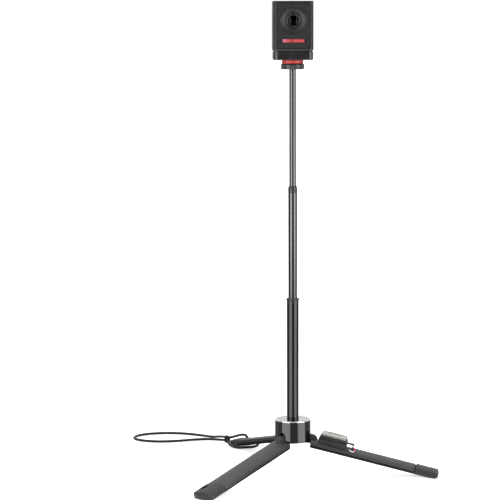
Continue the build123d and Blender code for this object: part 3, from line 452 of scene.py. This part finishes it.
LOOKS = {
    "case_plastic": case_shell("case_plastic", BLACK, 0.5, Specular_IOR_Level=0.3),
    "plate_plastic": moulded("plate_plastic", BLACK, 0.55, grain=0.25, Specular_IOR_Level=0.3),
    "cover_plastic": moulded("cover_plastic", BLACK, 0.55, grain=0.25, Specular_IOR_Level=0.3),
    # The base's strongly paled edges are mostly a painted highlight on its glossy corners and top
    # edge.
    "base_plastic": moulded("base_plastic", (0.014, 0.014, 0.015), 0.3, depth=0.008, wear_and_highlight=5.0),
    "lens_ring": moulded("lens_ring", (0.006, 0.006, 0.006), 0.35, depth=0.008),
    "lens_dish": dish_metal("lens_dish", (0.026, 0.0265, 0.0275), 0.45),
    "lens_barrel": moulded("lens_barrel", DEEP_BLACK, 0.4, depth=0.008,
                           Specular_IOR_Level=0.25),
    "front_glass": lens_glass("front_glass", (0.035, 0.033, 0.042)),
    "rear_glass": lens_glass("rear_glass", (0.04, 0.03, 0.055)),
    "light_bar": lit_red("light_bar", (0.62, 0.085, 0.095)),
    "inner_plastic": moulded("inner_plastic", (0.02, 0.02, 0.02), 0.6),
    "circuit_board": board("circuit_board", (0.01, 0.07, 0.03)),
    "battery_wrap": glossy("battery_wrap", (0.09, 0.11, 0.15), 0.35),
    "socket_steel": turned_metal("socket_steel", (0.5, 0.5, 0.51), 0.3),
    "button_plastic": moulded("button_plastic", (0.02, 0.02, 0.021), 0.4, depth=0.01),
    "screw_steel": turned_metal("screw_steel", (0.09, 0.09, 0.09), 0.35),
    "insert_steel": turned_metal("insert_steel", (0.45, 0.44, 0.43), 0.3),
    "red_ring": glossy("red_ring", (0.75, 0.075, 0.06), 0.42, smears=0.03),
    # The wheel's paled edges are mostly painted glints.
    "wheel_plastic": moulded("wheel_plastic", BLACK, 0.32, depth=0.01, wear_and_highlight=3.0),
    "stud_steel": turned_metal("stud_steel", (0.45, 0.45, 0.45), 0.3),
    "top_tube_metal": anodised("top_tube_metal", (0.075, 0.075, 0.077), 0.22),
    "mid_tube_metal": anodised("mid_tube_metal", (0.070, 0.070, 0.072), 0.16),
    "bottom_tube_metal": anodised("bottom_tube_metal", (0.050, 0.050, 0.052), 0.18),
    "cap_plastic": glossy("cap_plastic", (0.014, 0.014, 0.014), 0.28),
    "bush_plastic": moulded("bush_plastic", (0.38, 0.38, 0.36), 0.5),
    "hub_gloss": hub_lacquer("hub_gloss", DEEP_BLACK, 0.07, Coat_Weight=0.5,
                             Coat_Roughness=0.03),
    "hub_inner": moulded("hub_inner", BLACK, 0.5),
    "leg_skin": moulded("leg_skin", LEG_BLACK, 0.58, grain=0.3, wear_and_highlight=1.7, radius=0.8),
    # Painted shade: the lining is a real part, but its near-black colour and weak reflection stand
    # in for the shade on the legs' downward faces.
    "leg_lining": moulded("leg_lining", (0.003, 0.003, 0.003), 0.6, Specular_IOR_Level=0.15),
    "foot_rubber": rubber("foot_rubber", LEG_BLACK, 0.7),
    "pin_steel": turned_metal("pin_steel", (0.35, 0.35, 0.35), 0.3),
    "clip_plastic": moulded("clip_plastic", BLACK, 0.45),
    "remote_plastic": moulded("remote_plastic", BLACK, 0.4),
    "remote_metal": moulded("remote_metal", (0.30, 0.30, 0.28), 0.35, depth=0.006, wear_and_highlight=1.4,
                            Metallic=0.7),
    "remote_gloss": glossy("remote_gloss", (0.05, 0.05, 0.05), 0.12, Coat_Weight=0.5),
    "cell_steel": turned_metal("cell_steel", (0.55, 0.55, 0.56), 0.25),
    "ring_steel": turned_metal("ring_steel", (0.75, 0.74, 0.74), 0.12),
    "red_sleeve": braided("red_sleeve", (0.55, 0.02, 0.07)),
    "strap_cord": braided("strap_cord", (0.009, 0.009, 0.0095)),
    "strap_fitting": moulded("strap_fitting", (0.010, 0.010, 0.010), 0.45),
}


def paint_cad_nodes():
    """Gives each CAD node the finish of its material slot."""
    for part in frame["record"]["subparts"]:
        for place in NODES[part["node"]].material_slots:
            place.material = LOOKS[part["material_slot"]].material


def finish_piece(piece, body, slot, stands_for):
    """Puts a new piece on its body, in its slot's finish, in place of a CAD node."""
    piece.data.materials.append(LOOKS[slot].material)
    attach(piece, body)
    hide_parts(stands_for)


paint_cad_nodes()

# ----------------------------------------------------------------- swept pieces

SPLINE_ORDER = 3
SPLINE_STEPS = 24


def smooth_line(name, points, step):
    """Points a step apart along the NURBS spline with these control points."""
    data = bpy.data.curves.new(name, "CURVE")
    data.dimensions = "3D"
    spline = data.splines.new("NURBS")
    spline.points.add(len(points) - 1)
    for place, point in zip(spline.points, points):
        place.co = (*point, 1.0)
    spline.order_u = SPLINE_ORDER
    spline.use_endpoint_u = True
    data.resolution_u = SPLINE_STEPS
    holder = bpy.data.objects.new(name, data)
    mesh = bpy.data.meshes.new_from_object(holder)
    line = [v.co.copy() for v in mesh.vertices]
    bpy.data.objects.remove(holder)
    bpy.data.meshes.remove(mesh)
    return respaced(line, step)


def respaced(line, step):
    """The same line with its points evenly spaced, about a step apart."""
    total = sum((far - near).length for near, far in zip(line, line[1:]))
    count = max(2, round(total / step))
    gap = total / count
    made, gone = [line[0].copy()], 0.0
    for near, far in zip(line, line[1:]):
        length = (far - near).length
        while gone + length >= gap * len(made) and len(made) < count:
            made.append(near.lerp(far, (gap * len(made) - gone) / length))
        gone += length
    made.append(line[-1].copy())
    return made


def swept(name, line, around, radius):
    """A closed tube along a line. radius(distance, angle) gives its radius there."""
    mesh = bpy.data.meshes.new(name)
    build = bmesh.new()
    side = (line[1] - line[0]).orthogonal().normalized()
    rings, gone = [], 0.0
    for i, point in enumerate(line):
        before, after = line[max(i - 1, 0)], line[min(i + 1, len(line) - 1)]
        ahead = (after - before).normalized()
        side = (side - ahead * side.dot(ahead)).normalized()
        other = ahead.cross(side)
        if i:
            gone += (point - line[i - 1]).length
        ring = []
        for k in range(around):
            angle = 2 * math.pi * k / around
            out = side * math.cos(angle) + other * math.sin(angle)
            ring.append(build.verts.new(point + out * radius(gone, angle)))
        rings.append(ring)
    for near, far in zip(rings, rings[1:]):
        for k in range(around):
            build.faces.new((near[k], near[(k + 1) % around], far[(k + 1) % around], far[k]))
    build.faces.new(rings[0][::-1])
    build.faces.new(rings[-1])
    bmesh.ops.recalc_face_normals(build, faces=build.faces)
    for face in build.faces:
        face.smooth = True
    build.to_mesh(mesh)
    build.free()
    piece = bpy.data.objects.new(name, mesh)
    bpy.context.scene.collection.objects.link(piece)
    return piece


# ----------------------------------------------------------------- wrist strap

STRAP_DIAMETER = 0.0036
STRAP_SIDES = 32
STRAP_STEP = 0.00034

# From the pole's foot: out of the foot's slot, over the foot to the slider, round the hand loop,
# back through the slider, and under the leg to the slot's other side.
STRAP_ROUTE = [
    (-0.0533, 0.1653, 0.0065), (-0.054, 0.166, 0.0135), (-0.06, 0.1668, 0.0154),
    (-0.0685, 0.1638, 0.0142), (-0.079, 0.1688, 0.0099), (-0.0848, 0.1784, 0.0099),
    (-0.092, 0.194, 0.007), (-0.102, 0.211, 0.003), (-0.12, 0.23, 0.002), (-0.143, 0.242, 0.002),
    (-0.168, 0.245, 0.002), (-0.192, 0.24, 0.002), (-0.208, 0.226, 0.002), (-0.21, 0.208, 0.002),
    (-0.197, 0.194, 0.002), (-0.175, 0.187, 0.002), (-0.15, 0.19, 0.002), (-0.127, 0.199, 0.002),
    (-0.107, 0.201, 0.0022), (-0.093, 0.1895, 0.0036), (-0.0845, 0.1779, 0.0053),
    (-0.079, 0.1688, 0.0053), (-0.0795, 0.1605, 0.004), (-0.0752, 0.1499, 0.0026),
    (-0.0672, 0.1418, 0.0022), (-0.057, 0.1393, 0.0034), (-0.0465, 0.1426, 0.003),
    (-0.0398, 0.1506, 0.0036), (-0.0396, 0.1596, 0.0056), (-0.0452, 0.1614, 0.0058),
]
BRAID_STRANDS = 8
BRAID_PITCH = 0.0017
BRAID_RELIEF = 0.00022


def braid_radius(distance, angle):
    """The braid's surface: two sets of yarns that wind both ways and pass over each other."""
    turn = BRAID_STRANDS * angle / (2 * math.pi)
    along = distance / BRAID_PITCH
    right, left = turn + along, turn - along
    over = (math.floor(right) + math.floor(left)) % 2 == 0
    crown = abs(math.sin(math.pi * (right if over else left))) ** 0.6
    dip = abs(math.sin(math.pi * (left if over else right))) ** 0.3
    return STRAP_DIAMETER / 2 - BRAID_RELIEF * (1 - crown * (0.6 + 0.4 * dip))


def add_strap():
    """The wrist strap: one limp braided cord from the foot's slot, round a loop and back to it."""
    points = [POLE + Vector(p) for p in STRAP_ROUTE]
    line = smooth_line("strap_route", points, STRAP_STEP)
    strap = swept("wrist_strap", line, STRAP_SIDES, braid_radius)
    finish_piece(strap, "leg_back", "strap_cord", "strap_cord")


add_strap()

# ----------------------------------------------------------------- key ring

# The ring lies along the right leg, at that leg's heading, and leans up from it.
RING_RADIUS = 0.0036
RING_HEADING = math.radians(-9.3)
RING_LEAN = math.radians(30.0)

# The wire starts at this angle and goes round by this sweep, both in degrees. It crosses from the
# lower turn to the upper one in this share of its length.
RING_START = 100.0
RING_SWEEP = 700.0
CROSSING_START = 0.42
CROSSING_SHARE = 0.16
WIRE_RADIUS = 0.00029
WIRE_RISE = 0.00062
WIRE_SIDES = 12
WIRE_STEP = 0.00012

# The thread covers the ring between these angles, in degrees.
SLEEVE_START = -15.0
SLEEVE_END = 70.0
THREAD_RADIUS = 0.00096
THREAD_RELIEF = 0.00008
THREAD_PITCH = 0.00042
THREAD_SIDES = 20


def ring_frame():
    """The key ring's middle, its plane's directions along and across the leg, and its normal."""
    out = Vector((math.cos(RING_HEADING) * math.cos(LEG_SLOPE),
                  math.sin(RING_HEADING) * math.cos(LEG_SLOPE), -math.sin(LEG_SLOPE)))
    left = Vector((-math.sin(RING_HEADING), math.cos(RING_HEADING), 0))
    up = out.cross(left)
    over = left * math.cos(RING_LEAN) + up * math.sin(RING_LEAN)
    return middle("split_ring"), out, over, out.cross(over)


def ring_line(start, end, radius, rise, step):
    """An arc of the ring between two angles in degrees, climbing by the rise near its middle."""
    centre, out, over, normal = ring_frame()
    count = max(8, round(math.radians(abs(end - start)) * radius / step))
    line = []
    for i in range(count + 1):
        share = i / count
        angle = math.radians(start + (end - start) * share)
        climbed = min(1.0, max(0.0, (share - CROSSING_START) / CROSSING_SHARE))
        reach = (out * math.cos(angle) + over * math.sin(angle)) * radius
        line.append(centre + reach + normal * (rise * (climbed - 0.5)))
    return line


def thread_radius(distance, angle):
    """Bound thread: a screw of fine rounded turns."""
    turn = distance / THREAD_PITCH + angle / (2 * math.pi)
    return THREAD_RADIUS + THREAD_RELIEF * abs(math.sin(math.pi * turn))


def add_key_ring():
    """The split ring, nearly two turns of wire side by side, and the thread wound on it."""
    step = WIRE_STEP
    line = ring_line(RING_START, RING_START + RING_SWEEP, RING_RADIUS, WIRE_RISE, step)
    ring = swept("key_split_ring", line, WIRE_SIDES, lambda distance, angle: WIRE_RADIUS)
    finish_piece(ring, "key_ring", "ring_steel", "split_ring")
    line = ring_line(SLEEVE_START, SLEEVE_END, RING_RADIUS, 0.0, step / 2)
    sleeve = swept("thread_sleeve", line, THREAD_SIDES, thread_radius)
    finish_piece(sleeve, "key_ring", "red_sleeve", "red_sleeve")


add_key_ring()

# ----------------------------------------------------------------- stage and light

SOFTBOX_REACH = 1.7
SOFTBOX_HEIGHT = 0.85
SOFTBOX_AIM = 0.9
SIDE_GLOW = 3.4
TOP_GLOW = 2.6
TOP_HEIGHT = 1.9
TOP_BEHIND = 0.3
TOP_SIZE = 1.8

# The room's brightness in front and behind, and the Y of the directions between which it rises.
ROOM_FRONT, ROOM_BACK = 0.03, 1.35
ROOM_FROM, ROOM_TO = -0.4, 0.95

FLOOR_RADIUS = 40.0
FLOOR_SEGMENTS = 96
FLOOR_DROP = 0.0002

# The floor's colour for the camera and for every other ray.
FLOOR_SEEN = (0.85, 0.85, 0.85)
FLOOR_UNSEEN = (0.22, 0.22, 0.22)

# The floor's glow for the camera rises between these distances from the pole.
WHITE_FROM, WHITE_TO = 0.35, 1.4
NEAR_GLOW, FAR_GLOW = 0.62, 1.0

# The azimuths between which each card reaches and how softly it ends, in degrees.
CARD_LEFT = (-74.0, -18.0)
CARD_RIGHT = (28.0, 80.0)
CARD_SOFT = 3.0
CARD_GLOW = 2.7


def beside(azimuth):
    """An upright place at an azimuth, 0 in front and 90 to the right, that faces the object."""
    turn = math.radians(azimuth)
    place = POLE + Vector((math.sin(turn) * SOFTBOX_REACH, -math.cos(turn) * SOFTBOX_REACH,
                           SOFTBOX_HEIGHT))
    target = POLE + Vector((0, 0, SOFTBOX_HEIGHT * SOFTBOX_AIM))
    facing = (place - target).to_track_quat("Z", "Y").to_matrix().to_4x4()
    return Matrix.Translation(place) @ facing


def add_light(name, place, wide, tall, radiance):
    """A softbox that shines along its own -Z and that the camera doesn't see."""
    data = bpy.data.lights.new(name, "AREA")
    data.shape = "RECTANGLE"
    data.size, data.size_y = wide, tall
    data.energy = radiance * math.pi * wide * tall
    light = bpy.data.objects.new(name, data)
    bpy.context.scene.collection.objects.link(light)
    light.matrix_world = place
    light.visible_camera = False


def add_lights():
    """A large softbox at each side of the view, and one overhead."""
    add_light("softbox_left", beside(-47.0), 1.7, 1.6, SIDE_GLOW)
    add_light("softbox_right", beside(54.0), 1.6, 1.6, SIDE_GLOW)
    above = Matrix.Translation(POLE + Vector((0, TOP_BEHIND, TOP_HEIGHT)))
    add_light("softbox_top", above, TOP_SIZE, TOP_SIZE, TOP_GLOW)


def add_world():
    """White behind the object for the view. Light and reflections see a room that is dark in
    front of the object and bright behind it.
    """
    world = bpy.data.worlds.new("studio")
    bpy.context.scene.world = world
    world.use_nodes = True
    tree = world.node_tree
    tree.nodes.clear()
    out = tree.nodes.new("ShaderNodeOutputWorld")
    seen = tree.nodes.new("ShaderNodeBackground")
    seen.inputs["Color"].default_value = (1, 1, 1, 1)
    room = tree.nodes.new("ShaderNodeBackground")
    coords = tree.nodes.new("ShaderNodeTexCoord")
    split = tree.nodes.new("ShaderNodeSeparateXYZ")
    tree.links.new(coords.outputs["Generated"], split.inputs[0])
    ramp = tree.nodes.new("ShaderNodeMapRange")
    ramp.inputs["From Min"].default_value = ROOM_FROM
    ramp.inputs["From Max"].default_value = ROOM_TO
    ramp.inputs["To Min"].default_value = ROOM_FRONT
    ramp.inputs["To Max"].default_value = ROOM_BACK
    tree.links.new(split.outputs["Y"], ramp.inputs["Value"])
    tree.links.new(ramp.outputs[0], room.inputs["Color"])
    path = tree.nodes.new("ShaderNodeLightPath")
    mix = tree.nodes.new("ShaderNodeMixShader")
    tree.links.new(path.outputs["Is Camera Ray"], mix.inputs[0])
    tree.links.new(room.outputs[0], mix.inputs[1])
    tree.links.new(seen.outputs[0], mix.inputs[2])
    tree.links.new(mix.outputs[0], out.inputs["Surface"])


def card(look, azimuth, low, high):
    """1 between two azimuths round the pole, in degrees, and 0 elsewhere, with soft edges."""
    low, high, soft = math.radians(low), math.radians(high), math.radians(CARD_SOFT)
    rise = look.span(azimuth, low, low + soft)
    fall = look.span(azimuth, high - soft, high, 1.0, 0.0)
    return look.math("MULTIPLY", rise, fall)


def add_floor():
    """A plain pale floor that turns white with distance. A glossy surface also sees it glow in a
    wide card on each side of the object.
    """
    build = bmesh.new()
    bmesh.ops.create_circle(build, cap_ends=True, radius=FLOOR_RADIUS, segments=FLOOR_SEGMENTS)
    mesh = bpy.data.meshes.new("floor")
    build.to_mesh(mesh)
    build.free()
    floor = bpy.data.objects.new("floor", mesh)
    floor.location = (POLE.x, POLE.y, -FLOOR_DROP)
    bpy.context.scene.collection.objects.link(floor)
    look = Look("floor_white", FLOOR_SEEN, 0.9, Specular_IOR_Level=0.0)
    length = look.node("ShaderNodeVectorMath", operation="LENGTH")
    look.feed(length.inputs[0], look.space)
    glow = look.span(length.outputs["Value"], WHITE_FROM, WHITE_TO, NEAR_GLOW, FAR_GLOW)
    rays = look.node("ShaderNodeLightPath")
    seen, mirrored = rays.outputs["Is Camera Ray"], rays.outputs["Is Glossy Ray"]
    look.set("Base Color", look.mix(seen, FLOOR_UNSEEN, FLOOR_SEEN))
    look.set("Emission Color", (1.0, 1.0, 1.0, 1.0))
    azimuth = look.math("ARCTAN2", look.axis("X"), look.math("MULTIPLY", look.axis("Y"), -1.0))
    cards = look.math("ADD", card(look, azimuth, *CARD_LEFT), card(look, azimuth, *CARD_RIGHT))
    bounced = look.math("MULTIPLY", look.math("MULTIPLY", cards, mirrored), CARD_GLOW)
    look.set("Emission Strength", look.math("MULTIPLY_ADD", glow, seen, bounced))
    mesh.materials.append(look.material)


add_lights()
add_world()
add_floor()
